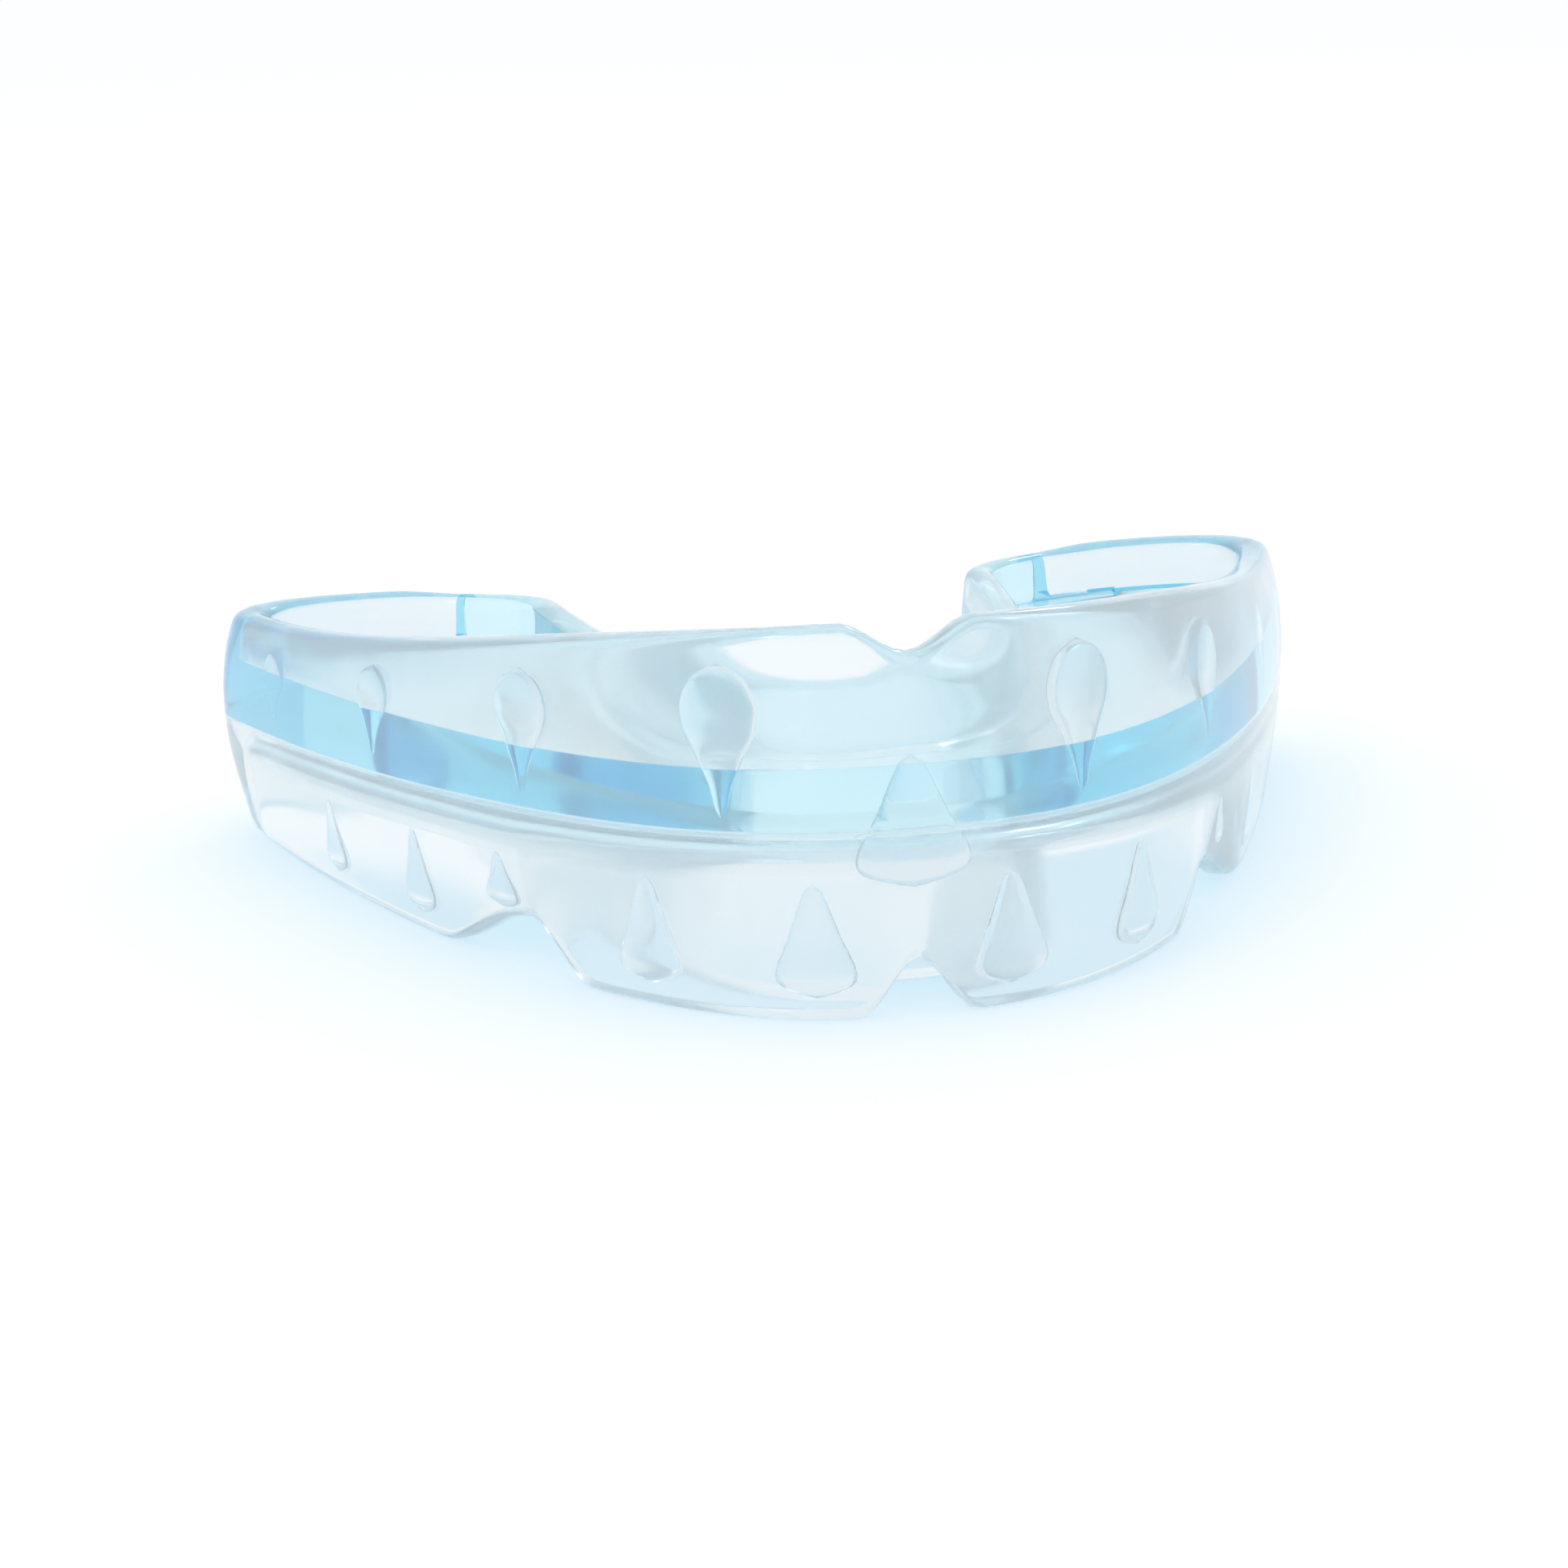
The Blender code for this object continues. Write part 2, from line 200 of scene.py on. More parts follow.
# %% Draw the two curves of the plan
OUTER_HALF = 33.9 * MM
OUTER_DEPTH = 58.8 * MM
OUTER_POWER = 2.33
TONGUE_HALF = 12.0 * MM
TONGUE_DEPTH = 44.9 * MM
TONGUE_POWER = 3.54
FRONT_THICKNESS = 9.3 * MM
ARM_SHARE = 0.80
HEEL_LENGTH = 6.4 * MM
CENTRE_ARC = 50.0 * MM
TABLE_POINTS = 800


def arc_table(half, depth, power):
    """Lengths along half a curve y = depth * (x / half) ** power, with the x and y there."""
    x = half * np.linspace(0, 1, TABLE_POINTS)
    y = depth * (x / half) ** power
    length = np.concatenate([[0], np.cumsum(np.hypot(np.diff(x), np.diff(y)))])
    return length, x, y


OUTER_TABLE = arc_table(OUTER_HALF, OUTER_DEPTH, OUTER_POWER)
TONGUE_TABLE = arc_table(TONGUE_HALF, TONGUE_DEPTH, TONGUE_POWER)
OUTER_ARC = OUTER_TABLE[0][-1]


def on_curve(table, fraction, start_y):
    lengths, x, y = table
    length = fraction * lengths[-1]
    return np.array([np.interp(length, lengths, x), start_y + np.interp(length, lengths, y)])

print("half of the outer curve is", round(OUTER_ARC * 1000, 1), "mm long")

# %% Find any point of the plan
# The front lies half the arch's length before the origin. The heels end halfway between the two curves.
HEEL_END = ARM_SHARE + HEEL_LENGTH / CENTRE_ARC
OUTER_END = on_curve(OUTER_TABLE, HEEL_END, 0.0)
TONGUE_END = on_curve(TONGUE_TABLE, HEEL_END, FRONT_THICKNESS)
FRONT_Y = -(OUTER_END[1] + TONGUE_END[1]) / 4


def plan(station, side, inset=0.0):
    """Plan point on the outer (side 1) or tongue (side -1) edge, or that far in from it."""
    t = abs(station)
    angle = math.pi / 2 * min(1.0, 2 - t)
    past = (HEEL_LENGTH - inset) / CENTRE_ARC * math.cos(angle)
    fraction = ARM_SHARE * min(t, 1.0) + past
    outer = on_curve(OUTER_TABLE, fraction, FRONT_Y)
    tongue = on_curve(TONGUE_TABLE, fraction, FRONT_Y + FRONT_THICKNESS)
    centre = (outer + tongue) / 2
    half = (outer - tongue) / 2
    reach = 1 - inset / np.linalg.norm(half)
    point = centre + side * reach * math.sin(angle) * half
    return point * (math.copysign(1.0, station), 1.0)


def seam(point):
    """Height of the plane where the upper and lower halves meet."""
    return SEAM_HEIGHT - SEAM_SLOPE * point[1]


def arc_of(station):
    return min(abs(station), 1.0) * ARM_SHARE * OUTER_ARC


def station_of(arc):
    return arc / (ARM_SHARE * OUTER_ARC)


def ease(t):
    """0 to 1 with flat ends."""
    t = min(max(t, 0.0), 1.0)
    return t * t * (3 - 2 * t)


print("the front lies at y =", round(FRONT_Y * 1000, 1), "mm")

# %% [markdown]
# ## Round corners and swept sections
#
# Moulded gel has no sharp edge, so a section is written as a few corners, each with its own radius, and a
# helper turns each corner into an arc. A second helper models as by hand: it adds a circle, shapes it to
# the first section, and then extrudes that ring again and again, setting each new ring on the next
# section.

# %% Round the corners of a section
CORNER_STEPS = 5
CORNER_REACH = 0.45


def rounded(corners):
    """Points of a closed outline of (x, y, radius) corners, with an arc at each corner."""
    points = []
    for i, (x, y, radius) in enumerate(corners):
        here = np.array([x, y])
        before = np.array(corners[i - 1][:2]) - here
        after = np.array(corners[(i + 1) % len(corners)][:2]) - here
        shorter = min(np.linalg.norm(before), np.linalg.norm(after))
        reach = min(radius, CORNER_REACH * shorter)
        start = here + before / np.linalg.norm(before) * reach
        end = here + after / np.linalg.norm(after) * reach
        for s in np.linspace(0, 1, CORNER_STEPS):
            points.append((1 - s) ** 2 * start + 2 * s * (1 - s) * here + s * s * end)
    return points


print("each corner becomes", CORNER_STEPS, "points")

# %% Sweep a section along the arch
SAME_PLACE = 1e-7
SMOOTH_ANGLE = math.radians(38)
ARM_STEPS = 90
HEEL_STEPS = 22


def sweep(name, rings, caps):
    """Extrude a closed section through a list of rings. caps: fill both ends, or weld each onto itself."""
    bpy.ops.object.select_all(action="DESELECT")
    bpy.ops.mesh.primitive_circle_add(vertices=len(rings[0]))
    piece = bpy.context.object
    piece.name = name
    piece.data.name = name
    bpy.ops.object.mode_set(mode="EDIT")
    work = bmesh.from_edit_mesh(piece.data)
    for vertex, point in zip(work.verts, rings[0]):
        vertex.co = point
    for previous, ring in zip(rings, rings[1:]):
        bpy.ops.mesh.extrude_edges_move()
        work = bmesh.from_edit_mesh(piece.data)
        work.verts.ensure_lookup_table()
        fresh = work.verts[-len(ring):]
        spots = np.array([vertex.co for vertex in fresh])
        for old, new in zip(previous, ring):
            gaps = np.abs(spots - np.asarray(old)).sum(axis=1)
            nearest = int(gaps.argmin())
            fresh[nearest].co = new
            spots[nearest] = np.inf
    bmesh.update_edit_mesh(piece.data)
    if caps:
        bpy.ops.mesh.select_all(action="DESELECT")
        bpy.ops.mesh.select_non_manifold()
        bpy.ops.mesh.edge_face_add()
    bpy.ops.mesh.select_all(action="SELECT")
    bpy.ops.mesh.remove_doubles(threshold=SAME_PLACE)
    bpy.ops.mesh.normals_make_consistent(inside=False)
    bpy.ops.object.mode_set(mode="OBJECT")
    bpy.ops.object.shade_smooth_by_angle(angle=SMOOTH_ANGLE)
    print(name, "has", len(piece.data.polygons), "faces")
    return piece


def stations_to(last):
    """Stations from the midline to the last one, close enough for a smooth rim."""
    arm = list(np.linspace(0, 1, ARM_STEPS, endpoint=False))
    return arm + list(np.linspace(1, last, HEEL_STEPS))


def both_sides(half):
    return [-t for t in reversed(half) if t > 0] + half


def stand(station, side, section):
    """Stand a flat section of (inset, height above the seam) at a station."""
    ring = []
    for inset, height in section:
        point = plan(station, side, inset)
        ring.append((*point, seam(point) + height))
    return ring


print("sections follow", len(both_sides(stations_to(2.0))), "stations")

# %% [markdown]
# ## Gels
#
# Ethylene vinyl gel is a soft clear plastic. The blue isn't paint on its surface: light loses red on its
# way through, so a thick place is deep blue and a thin one pale. A coloured glass surface would tint
# thick and thin alike, so the tint here is a volume that absorbs. A faint unevenness in gloss and
# surface, and a little milk, keep it from looking like cut glass.
#
# Light crosses many faces before it leaves the gel, so it gets more bounces than usual. Bright patterns
# that gel throws onto the floor would stay grainy, so light on its way there passes straight through and
# is only tinted.
#
# Where two gels are moulded together, a face attribute named joint lets light straight through. The blue
# dye lies thickest at those joints towards the heels, which a ramp along the part's length brings in.

# %% Let light cross many faces
LIGHT_BOUNCES = 48
light_paths = bpy.context.scene.cycles
light_paths.max_bounces = LIGHT_BOUNCES
light_paths.transmission_bounces = LIGHT_BOUNCES
light_paths.glossy_bounces = LIGHT_BOUNCES
light_paths.transparent_max_bounces = LIGHT_BOUNCES
light_paths.caustics_refractive = False
light_paths.caustics_reflective = False
print("light may cross", LIGHT_BOUNCES, "faces")

# %% Write what happens at a joint and on the way to the floor
DYE_FROM_Y = -14.0 * MM
DYE_TO_Y = 8.0 * MM


def see_through_joints(nodes, links, place, skin, dye):
    """Clear a skin where the joint attribute is 1. dye: its tints there, at the front and at the heels."""
    joint = nodes.new("ShaderNodeAttribute")
    joint.attribute_name = "joint"
    clear = nodes.new("ShaderNodeBsdfTransparent")
    if dye:
        axes = nodes.new("ShaderNodeSeparateXYZ")
        back = nodes.new("ShaderNodeMapRange")
        back.interpolation_type = "SMOOTHSTEP"
        back.inputs["From Min"].default_value = DYE_FROM_Y
        back.inputs["From Max"].default_value = DYE_TO_Y
        tints = nodes.new("ShaderNodeValToRGB")
        for element, tint in zip(tints.color_ramp.elements, dye):
            element.color = (*tint, 1.0)
        links.new(place.outputs["Object"], axes.inputs["Vector"])
        links.new(axes.outputs["Y"], back.inputs["Value"])
        links.new(back.outputs["Result"], tints.inputs["Fac"])
        links.new(tints.outputs["Color"], clear.inputs["Color"])
    either = nodes.new("ShaderNodeMixShader")
    links.new(joint.outputs["Fac"], either.inputs["Fac"])
    links.new(skin, either.inputs[1])
    links.new(clear.outputs["BSDF"], either.inputs[2])
    return either.outputs["Shader"]


def pass_light(nodes, links, skin, shade):
    """Let light on its way to a matt surface through a skin, tinted by shade."""
    rays = nodes.new("ShaderNodeLightPath")
    passing = nodes.new("ShaderNodeMath")
    passing.operation = "MAXIMUM"
    tinted = nodes.new("ShaderNodeBsdfTransparent")
    tinted.inputs["Color"].default_value = (*shade, 1.0)
    lit = nodes.new("ShaderNodeMixShader")
    links.new(rays.outputs["Is Shadow Ray"], passing.inputs[0])
    links.new(rays.outputs["Is Diffuse Ray"], passing.inputs[1])
    links.new(passing.outputs[0], lit.inputs["Fac"])
    links.new(skin, lit.inputs[1])
    links.new(tinted.outputs["BSDF"], lit.inputs[2])
    return lit.outputs["Shader"]


print("the dye deepens over", round((DYE_TO_Y - DYE_FROM_Y) * 1000), "mm")

# %% Mix the three gels
GLOSS_GRAIN = 260.0
GLOSS_DETAIL = 2.0
GLOSS_LEAST = 0.5
GLOSS_MOST = 1.5
WAVE_GRAIN = 130.0
WAVE_DETAIL = 1.0
WAVE_HEIGHT = 0.4 * MM


def noise(nodes, links, place, grain, detail):
    texture = nodes.new("ShaderNodeTexNoise")
    texture.inputs["Scale"].default_value = grain
    texture.inputs["Detail"].default_value = detail
    links.new(place.outputs["Object"], texture.inputs["Vector"])
    return texture.outputs["Fac"]


def gel(name, tint, depth_tint, density, roughness, waviness, bend, milk, shade, joined=True, dye=None):
    """A gel. tint: its skin; depth_tint, density: its inside; bend: refraction; shade: its shadow's tint."""
    material, nodes, links = new_material(name)
    place = nodes.new("ShaderNodeTexCoord")
    gloss = nodes.new("ShaderNodeMapRange")
    gloss.inputs["To Min"].default_value = roughness * GLOSS_LEAST
    gloss.inputs["To Max"].default_value = roughness * GLOSS_MOST
    bump = nodes.new("ShaderNodeBump")
    bump.inputs["Strength"].default_value = waviness
    bump.inputs["Distance"].default_value = WAVE_HEIGHT
    surface = nodes.new("ShaderNodeBsdfPrincipled")
    surface.inputs["Base Color"].default_value = (*tint, 1.0)
    surface.inputs["IOR"].default_value = bend
    surface.inputs["Transmission Weight"].default_value = 1.0 - milk
    inside = nodes.new("ShaderNodeVolumeAbsorption")
    inside.inputs["Color"].default_value = (*depth_tint, 1.0)
    inside.inputs["Density"].default_value = density
    output = nodes.new("ShaderNodeOutputMaterial")
    links.new(noise(nodes, links, place, GLOSS_GRAIN, GLOSS_DETAIL), gloss.inputs["Value"])
    links.new(noise(nodes, links, place, WAVE_GRAIN, WAVE_DETAIL), bump.inputs["Height"])
    links.new(gloss.outputs["Result"], surface.inputs["Roughness"])
    links.new(bump.outputs["Normal"], surface.inputs["Normal"])
    skin = surface.outputs["BSDF"]
    if joined:
        skin = see_through_joints(nodes, links, place, skin, dye)
    links.new(pass_light(nodes, links, skin, shade), output.inputs["Surface"])
    links.new(inside.outputs["Volume"], output.inputs["Volume"])
    return material


clear_gel = gel(
    "clear_gel", tint=(0.97, 0.98, 0.98), depth_tint=(0.46, 0.64, 0.72), density=28.0,
    roughness=0.10, waviness=0.10, bend=1.46, milk=0.17, shade=(0.88, 0.945, 0.975),
)
blue_gel = gel(
    "blue_gel", tint=(0.80, 0.96, 1.0), depth_tint=(0.12, 0.86, 0.99), density=18.0,
    roughness=0.05, waviness=0.04, bend=1.46, milk=0.17, shade=(0.82, 0.94, 0.98),
    dye=[(0.80, 0.95, 0.985), (0.40, 0.80, 0.93)],
)
fin_gel = gel(
    "fin_gel", tint=(0.96, 0.98, 0.99), depth_tint=(0.45, 0.80, 0.92), density=20.0,
    roughness=0.05, waviness=0.05, bend=1.12, milk=0.0, shade=(0.98, 0.99, 1.0), joined=False,
)
print("gels:", clear_gel.name, blue_gel.name, fin_gel.name)

# %% [markdown]
# ## Upper wall
#
# The clear wall stands in front of the upper teeth and wraps round both heels, where it runs into the
# tongue wall. Its rim is high at the front, has a notch for the cord of the upper lip, and falls towards
# the heels. Its foot has a step for the blue plate, and at the heels only a thin clear skin is left
# outside the blue. A curve with a bevel can't change its section, so the wall is swept.

# %% Write the section of the upper wall
FUSE = 0.03 * MM
CRISP = 0.005 * MM
FINE_ROUND = 0.05 * MM
BROAD_ROUND = 2.0 * MM
RIM_ROUND = 0.75 * MM
TOOTH_SIDE_ROUND = 1.0 * MM
RIM_FRONT = 9.9 * MM
RIM_HEEL = 5.9 * MM
UPPER_NOTCH_DEPTH = 1.5 * MM
UPPER_NOTCH_HALF = 3.4 * MM
UPPER_WALL = 2.6 * MM
UPPER_LEAN = 0.9 * MM
RIM_THICKNESS = 1.6 * MM
WRAP = 1.62
BLEND_FROM = 1.9
TONGUE_WALL_TOP = 5.6 * MM
TONGUE_WALL_BASE = 2.3 * MM
TONGUE_WALL_LEAN = 0.4 * MM
PLATE_TOP = 3.0 * MM
PLATE_OVERLAP = 0.02 * MM
HEEL_SKIN = 0.5 * MM
HEEL_SKIN_FROM = 0.4
HEEL_SKIN_OVER = 0.45


def upper_rim(station):
    """Height of the wall's rim above the seam."""
    s = arc_of(station)
    height = RIM_HEEL + (RIM_FRONT - RIM_HEEL) * (0.5 + 0.5 * math.cos(math.pi * station_of(s)))
    return height - UPPER_NOTCH_DEPTH * (1 - ease(s / UPPER_NOTCH_HALF))


def plate_inset(station):
    """How far in the blue plate starts: behind the whole wall, or close under the skin of a heel."""
    near_heel = ease((abs(station) - HEEL_SKIN_FROM) / HEEL_SKIN_OVER)
    return UPPER_WALL - PLATE_OVERLAP - (UPPER_WALL - HEEL_SKIN) * near_heel


def upper_section(station, side):
    """Section of the wall. Round the heel, on the tongue side, it turns into that of the tongue wall."""
    turned = ease((BLEND_FROM - abs(station)) / (BLEND_FROM - WRAP)) if side < 0 else 0.0
    rim = upper_rim(station) + turned * (TONGUE_WALL_TOP - upper_rim(station))
    lean = UPPER_LEAN + turned * (TONGUE_WALL_LEAN - UPPER_LEAN)
    base = UPPER_WALL + turned * (TONGUE_WALL_BASE - UPPER_WALL)
    foot = plate_inset(station)
    return rounded([
        (0.0, -FUSE, FINE_ROUND),
        (0.0, 0.3 * rim, BROAD_ROUND),
        (0.3 * lean, 0.65 * rim, BROAD_ROUND),
        (lean, rim, RIM_ROUND),
        (lean + RIM_THICKNESS, rim, RIM_ROUND),
        (base, 0.6 * rim, TOOTH_SIDE_ROUND),
        (base, PLATE_TOP - FUSE, CRISP),
        (foot, PLATE_TOP - FUSE, CRISP),
        (foot, -FUSE, FINE_ROUND),
    ])


print("upper wall stands", round(upper_rim(1.0) * 1000, 1), "mm high at the heels")

# %% Sweep the upper wall


def finish_piece(piece, material, slot, *nodes):
    """Give a piece its gel, put it on the part's only body and let it stand for its solids."""
    piece.data.materials.clear()
    piece.data.materials.append(material)
    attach(piece, "root")
    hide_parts(*nodes)


way = [(t, 1) for t in stations_to(2.0)]
way += [(t, -1) for t in np.linspace(2.0, WRAP, HEEL_STEPS)[1:]]
way = [(-t, side) for t, side in reversed(way) if t > 0] + way
wall = sweep("upper_outer_wall_gel", [stand(t, side, upper_section(t, side)) for t, side in way], True)
finish_piece(wall, clear_gel, "clear_gel", "upper_outer_wall")

# %% [markdown]
# ## Bite core
#
# The teeth meet on a blue plate, and a blue wall stands on it along the tongue. Both are one moulding. At
# the heels the clear gel takes over, so the core is swept right to the back and then cut with the room
# that the heels take. A hair of air is left between the core and the tray: light that comes in flat is
# mirrored there, and the blue ends sharply at the seam.

# %% Write the section of the core
SEAM_AIR = 0.1 * MM
PLATE_FLAT = 2.0 * MM
PLATE_ROUND = 0.1 * MM
TONGUE_FOOT_ROUND = 0.9 * MM
TONGUE_BACK_ROUND = 1.5 * MM
SEAM_ROUND = 0.15 * MM


def core_ring(station):
    """Ring of the core: from the plate's outer edge over the top, round the tongue wall, back below."""
    edge = plate_inset(station) - FUSE
    top = [(edge, 0.8 * PLATE_TOP), (edge, PLATE_TOP - FUSE)]
    top += [(edge + FUSE, PLATE_TOP), (UPPER_WALL, PLATE_TOP)]
    bottom = [(edge + FUSE, SEAM_AIR), (edge, SEAM_AIR + FUSE), (edge, 0.4 * PLATE_TOP)]
    outline = rounded([
        (TONGUE_WALL_BASE + PLATE_FLAT, PLATE_TOP, PLATE_ROUND),
        (TONGUE_WALL_BASE, PLATE_TOP, TONGUE_FOOT_ROUND),
        (TONGUE_WALL_LEAN + RIM_THICKNESS, TONGUE_WALL_TOP, RIM_ROUND),
        (TONGUE_WALL_LEAN, TONGUE_WALL_TOP, RIM_ROUND),
        (0.0, 0.4 * TONGUE_WALL_TOP, TONGUE_BACK_ROUND),
        (0.5 * TONGUE_WALL_LEAN, SEAM_AIR, SEAM_ROUND),
    ])
    return stand(station, 1, top) + stand(station, -1, outline) + stand(station, 1, bottom)


print("a ring of the core has", len(core_ring(0.0)), "points")

# %% Sweep the bite core and cut its heels back
CORE_END = 1.97
CUT_OVERLAP = 0.004
HEEL_ROOM_FROM = WRAP + CUT_OVERLAP
HEEL_ROOM_TO = 1.3
HEEL_ROOM_LOW = -1.0 * MM
HEEL_ROOM_OUTSIDE = -0.3 * MM


def heel_room(sign):
    """The room of the clear heel on one side, as a cutter: a thin skin low down, the whole wall above."""
    path = [(t, -1) for t in np.linspace(HEEL_ROOM_FROM, 2.0, HEEL_STEPS)]
    path += [(t, 1) for t in np.linspace(2.0, HEEL_ROOM_TO, HEEL_STEPS)[1:]]
    skin = HEEL_SKIN - FUSE
    inside = UPPER_WALL - FUSE
    section = [
        (HEEL_ROOM_OUTSIDE, HEEL_ROOM_LOW),
        (HEEL_ROOM_OUTSIDE, RIM_FRONT),
        (inside, RIM_FRONT),
        (inside, PLATE_TOP),
        (skin, PLATE_TOP),
        (skin, HEEL_ROOM_LOW),
    ]
    return sweep("heel_room", [stand(sign * t, side, section) for t, side in path], True)


core = sweep("bite_core_gel", [core_ring(t) for t in both_sides(stations_to(CORE_END))], True)
for sign in (-1, 1):
    room_cutter = heel_room(sign)
    bpy.ops.object.select_all(action="DESELECT")
    bpy.context.view_layer.objects.active = core
    core.select_set(True)
    bpy.ops.object.modifier_add(type="BOOLEAN")
    core.modifiers[-1].operation = "DIFFERENCE"
    core.modifiers[-1].solver = "MANIFOLD"
    core.modifiers[-1].object = room_cutter
    bpy.ops.object.modifier_apply(modifier=core.modifiers[-1].name)
    bpy.data.objects.remove(room_cutter)
bpy.ops.object.shade_smooth_by_angle(angle=SMOOTH_ANGLE)
finish_piece(core, blue_gel, "blue_gel", "bite_core")
print("bite core cut back, now", len(core.data.polygons), "faces")

# %% [markdown]
# ## Lower tray
#
# The lower teeth bite into a trough that is open downwards. Its outer rim has a notch at the midline and
# one under each cheek, for the cords of the lip and cheeks, and lifts off the table round the heels. The
# trough could be cut from a solid band; swept as one folded section it needs no cut, and its two sides
# weld together at the back of each heel.

# %% Write the section of the tray
LOWER_LEAN = 0.9 * MM
HEEL_LEAN = 0.7 * MM
HEEL_LIFT = 2.6 * MM
HEEL_LIFT_FROM = 0.8
HEEL_LIFT_OVER = 1.0
LOWER_WALL = 2.6 * MM
LOWER_RIM_ROUND = 0.6 * MM
CHANNEL_ROUND = 1.8 * MM
CHANNEL_HALF = 4.2 * MM
CLOSING_ROUND = 0.1 * MM
WEB = 0.8 * MM
LIP_NOTCH_DEPTH = 2.8 * MM
LIP_NOTCH_HALF = 2.9 * MM
CHEEK_NOTCH_AT = 23.0 * MM
CHEEK_NOTCH_DEPTH = 2.8 * MM
CHEEK_NOTCH_FRONT = 4.7 * MM
CHEEK_NOTCH_BACK = 9.0 * MM


def heel_share(station):
    """0 along the arm, rising to 1 round the heel."""
    return ease((abs(station) - HEEL_LIFT_FROM) / HEEL_LIFT_OVER)


def lower_rim(station):
    """Height of the tray's outer rim above the table: 0, apart from the notches and the heels."""
    s = arc_of(station)
    lip = LIP_NOTCH_DEPTH * (1 - ease(s / LIP_NOTCH_HALF))
    if s < CHEEK_NOTCH_AT:
        cheek = ease(1 - (CHEEK_NOTCH_AT - s) / CHEEK_NOTCH_FRONT)
    else:
        cheek = 1 - ease((s - CHEEK_NOTCH_AT) / CHEEK_NOTCH_BACK)
    return max(lip, CHEEK_NOTCH_DEPTH * cheek) + HEEL_LIFT * heel_share(station)


def tray_side(station, side, rim):
    """Half a section of the tray: from the seam down the outer face, round the rim and up the channel."""
    top = seam(plan(station, side)) + FUSE
    roof = top - WEB
    lean = LOWER_LEAN + HEEL_LEAN * heel_share(station)
    corners = [
        (0.0, top, FINE_ROUND),
        (0.1 * lean, 0.7 * top + 0.3 * rim, BROAD_ROUND),
        (0.5 * lean, 0.35 * top + 0.65 * rim, BROAD_ROUND),
        (lean, rim, LOWER_RIM_ROUND),
        (LOWER_WALL, rim, LOWER_RIM_ROUND),
        (LOWER_WALL, roof, CHANNEL_ROUND),
    ]
    middle = LOWER_WALL + CHANNEL_HALF
    closing = [(middle, roof, CLOSING_ROUND), (middle, top, CLOSING_ROUND)]
    outline = rounded(corners + closing)[:len(corners) * CORNER_STEPS]
    return [(*plan(station, side, inset), z) for inset, z in outline]


def tray_ring(station):
    tongue_rim = HEEL_LIFT * heel_share(station)
    return tray_side(station, 1, lower_rim(station)) + tray_side(station, -1, tongue_rim)[::-1]


print("lip notch rises", round(lower_rim(0.0) * 1000, 1), "mm off the table")

# %% Sweep the lower tray
tray = sweep("lower_tray_gel", [tray_ring(t) for t in both_sides(stations_to(2.0))], False)
finish_piece(tray, clear_gel, "clear_gel", "lower_tray")

# %% [markdown]
# ## Fins and midline key
#
# Drop-shaped fins stand in the outer walls, with their points towards the seam, and a larger drop stands
# across the seam at the midline. A drop could be spun from a profile. Here it is a ball whose rings take
# the widths of an outline, because a ball keeps both ends round: a bulb on a thin spike above the seam,
# and a bell below it.

# %% Draw the outlines of the drops
BULB_SHARES = [0.0, 0.02, 0.2, 0.42, 0.56, 0.72, 0.86, 0.95, 1.0]
BULB_WIDTHS = [0.0, 0.12, 0.26, 0.62, 0.92, 1.0, 0.82, 0.5, 0.0]
BELL_SHARES = [0.0, 0.02, 0.1, 0.45, 0.72, 0.84, 0.94, 1.0]
BELL_WIDTHS = [0.0, 0.16, 0.27, 0.62, 0.95, 1.0, 0.75, 0.0]
OUTLINE_POINTS = 81
OUTLINE_BLUR = 9
OUTLINE_SHARES = np.linspace(0, 1, OUTLINE_POINTS)


def smooth_outline(shares, widths):
    """Widths at even shares of a drop's length, from tip to head, with the corners blurred."""
    exact = np.interp(OUTLINE_SHARES, shares, widths)
    padded = np.pad(exact, OUTLINE_BLUR // 2, mode="reflect", reflect_type="odd")
    return np.convolve(padded, np.ones(OUTLINE_BLUR) / OUTLINE_BLUR, "valid")


BULB = smooth_outline(BULB_SHARES, BULB_WIDTHS)
BELL = smooth_outline(BELL_SHARES, BELL_WIDTHS)
print("widest share of a bulb and of a bell:", round(BULB.max(), 2), round(BELL.max(), 2))

# %% Shape a ball into a drop
FIN_HALF_THICKNESS = 0.9 * MM
DROP_SEGMENTS = 40
DROP_RINGS = 48
ON_AXIS = 1e-6


def drop(name, outline, radius, place, normal, tip, end):
    """A flattened drop from its tip to the end of its head, with its flat side square to the wall."""
    bpy.ops.object.select_all(action="DESELECT")
    bpy.ops.mesh.primitive_uv_sphere_add(segments=DROP_SEGMENTS, ring_count=DROP_RINGS, radius=1.0)
    piece = bpy.context.object
    piece.name = name
    piece.data.name = name
    along = Vector((normal[1], -normal[0], 0.0))
    across = Vector((normal[0], normal[1], 0.0))
    for vertex in piece.data.vertices:
        x, y, z = vertex.co
        share = 0.5 + 0.5 * z
        wide = math.hypot(x, y)
        width = np.interp(share, OUTLINE_SHARES, outline) / wide if wide > ON_AXIS else 0.0
        point = along * x * width * radius + across * y * width * FIN_HALF_THICKNESS
        vertex.co = point + Vector((*place, tip + share * (end - tip)))
    bpy.ops.object.mode_set(mode="EDIT")
    bpy.ops.mesh.select_all(action="SELECT")
    bpy.ops.mesh.normals_make_consistent(inside=False)
    bpy.ops.object.mode_set(mode="OBJECT")
    bpy.ops.object.shade_smooth()
    return piece


print("a drop has", DROP_SEGMENTS * DROP_RINGS, "faces")

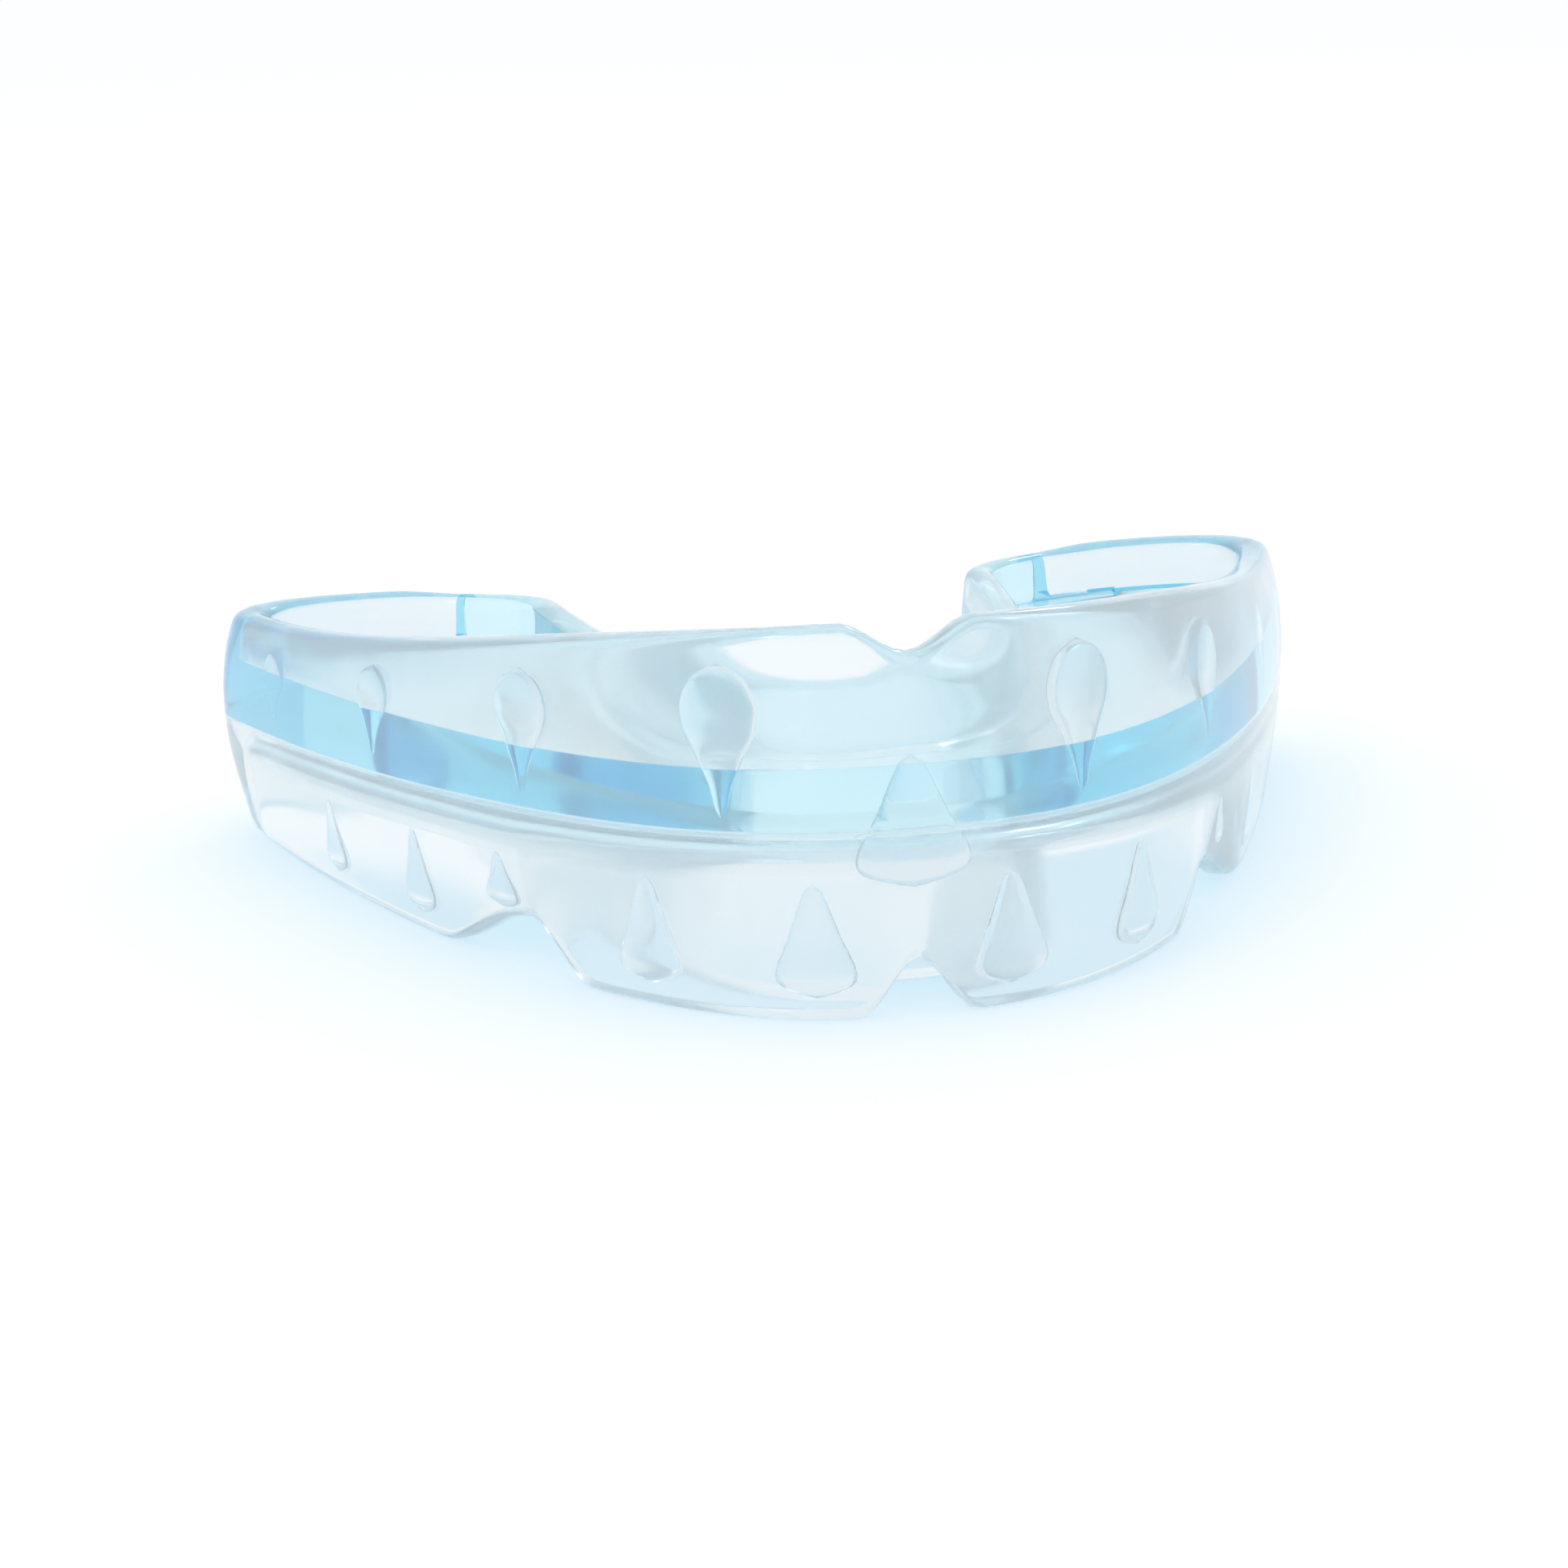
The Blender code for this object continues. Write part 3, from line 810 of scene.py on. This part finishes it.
# %% Place the fins, each by its distance along the edge and its radius in millimetres
UPPER_FINS = [(10.1, 2.0), (23.5, 2.0), (38.3, 1.7), (52.0, 1.4)]
LOWER_FINS = [(5.3, 1.9), (14.9, 1.9), (26.2, 1.25), (34.4, 1.5), (44.7, 1.2)]
FIN_SINK = 0.35 * MM
UPPER_FIN_TIP = 0.7 * MM
UPPER_FIN_BELOW_RIM = 1.7 * MM
LOWER_FIN_TIP = -2.4 * MM
LOWER_FIN_ABOVE_RIM = 1.0 * MM
SIGHT_STEP = 0.002


def outer_place(arc, inset):
    """Plan point and inward normal at a distance along the outer edge, a little way in from it."""
    t = station_of(arc)
    along = plan(t + SIGHT_STEP, 1) - plan(t - SIGHT_STEP, 1)
    normal = np.array([-along[1], along[0]]) / np.linalg.norm(along)
    return plan(t, 1) + normal * inset, normal


for side, sign in (("left", -1), ("right", 1)):
    for number, (arc, radius) in enumerate(UPPER_FINS, 1):
        spot, normal = outer_place(sign * arc * MM, UPPER_WALL - FIN_SINK)
        tip = seam(spot) + UPPER_FIN_TIP
        end = seam(spot) + upper_rim(station_of(arc * MM)) - UPPER_FIN_BELOW_RIM
        node = f"upper_fin_{side}_{number}"
        fin = drop(node + "_gel", BULB, radius * MM, spot, normal, tip, end)
        finish_piece(fin, fin_gel, "fin_gel", node)
    for number, (arc, radius) in enumerate(LOWER_FINS, 1):
        spot, normal = outer_place(sign * arc * MM, LOWER_WALL - FIN_SINK)
        tip = seam(spot) + LOWER_FIN_TIP
        end = lower_rim(station_of(arc * MM)) + LOWER_FIN_ABOVE_RIM
        node = f"lower_fin_{side}_{number}"
        fin = drop(node + "_gel", BELL, radius * MM, spot, normal, tip, end)
        finish_piece(fin, fin_gel, "fin_gel", node)
print("fins placed:", 2 * (len(UPPER_FINS) + len(LOWER_FINS)))

# %% Place the midline key
MIDLINE_RADIUS = 2.7 * MM
MIDLINE_TIP = 3.5 * MM
MIDLINE_BASE = -2.7 * MM
spot = plan(0.0, 1, UPPER_WALL - FIN_SINK)
tip = seam(spot) + MIDLINE_TIP
end = seam(spot) + MIDLINE_BASE
key = drop("midline_key_gel", BELL, MIDLINE_RADIUS, spot, (0.0, 1.0), tip, end)
finish_piece(key, fin_gel, "fin_gel", "midline_key")
print("midline key is", round((MIDLINE_TIP - MIDLINE_BASE) * 1000, 1), "mm high")

# %% [markdown]
# ## Joints
#
# The wall is moulded onto the core and onto the tray, so no light is mirrored or bent where they touch.
# Deleting the touching faces would open the meshes. Instead the pieces overlap by a hair, each face that
# lies just inside a neighbour is marked, and the gel lets light straight through a marked face.

# %% Mark the faces that lie inside a neighbour
JOINT_REACH = 4 * FUSE
QUAD = 4


def mark_joints(piece, neighbours):
    """Set the joint attribute on faces just inside a neighbour, and on end faces anywhere inside one."""
    marks = piece.data.attributes.new("joint", "FLOAT", "FACE")
    count = 0
    for face in piece.data.polygons:
        for neighbour in neighbours:
            found, spot, normal, _ = neighbour.closest_point_on_mesh(face.center)
            gap = face.center - spot
            near = gap.length < JOINT_REACH or len(face.vertices) > QUAD
            if found and near and gap.dot(normal) < 0:
                marks.data[face.index].value = 1.0
                count += 1
                break
    print(piece.name, "has", count, "joint faces of", len(piece.data.polygons))


mark_joints(wall, [core, tray])
mark_joints(core, [wall, tray])
mark_joints(tray, [wall, core])
